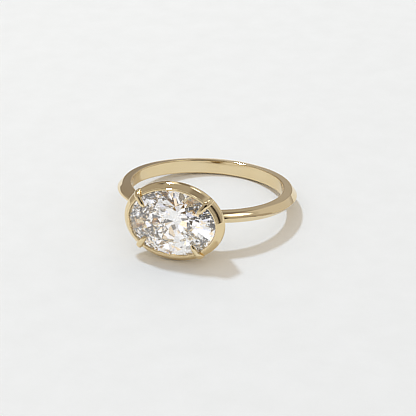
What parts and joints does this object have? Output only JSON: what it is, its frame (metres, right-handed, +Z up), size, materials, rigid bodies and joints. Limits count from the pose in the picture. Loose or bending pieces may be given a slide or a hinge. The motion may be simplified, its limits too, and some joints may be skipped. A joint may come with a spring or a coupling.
{
  "type": "east west ring",
  "caption": "Gold finger ring with an oval faceted stone set crosswise in a raised oval collar with claws, lying on its side.",
  "frame": {"origin": "on the surface that the ring lies on, under the middle of its bounding box", "axes": "+Z up from the surface, -Y towards the head and its stone, X along the stone's long axis; the finger's axis leans about 10 degrees from Z towards +Y"},
  "size_m": [0.0196, 0.0226, 0.0084],
  "materials": {
    "gold": "polished pale yellow gold",
    "stone": "polished, clear and colourless, cut in flat facets"
  },
  "bodies": {
    "root": {"ring_mount": "gold", "oval_stone": "stone"}
  },
  "joints": []
}
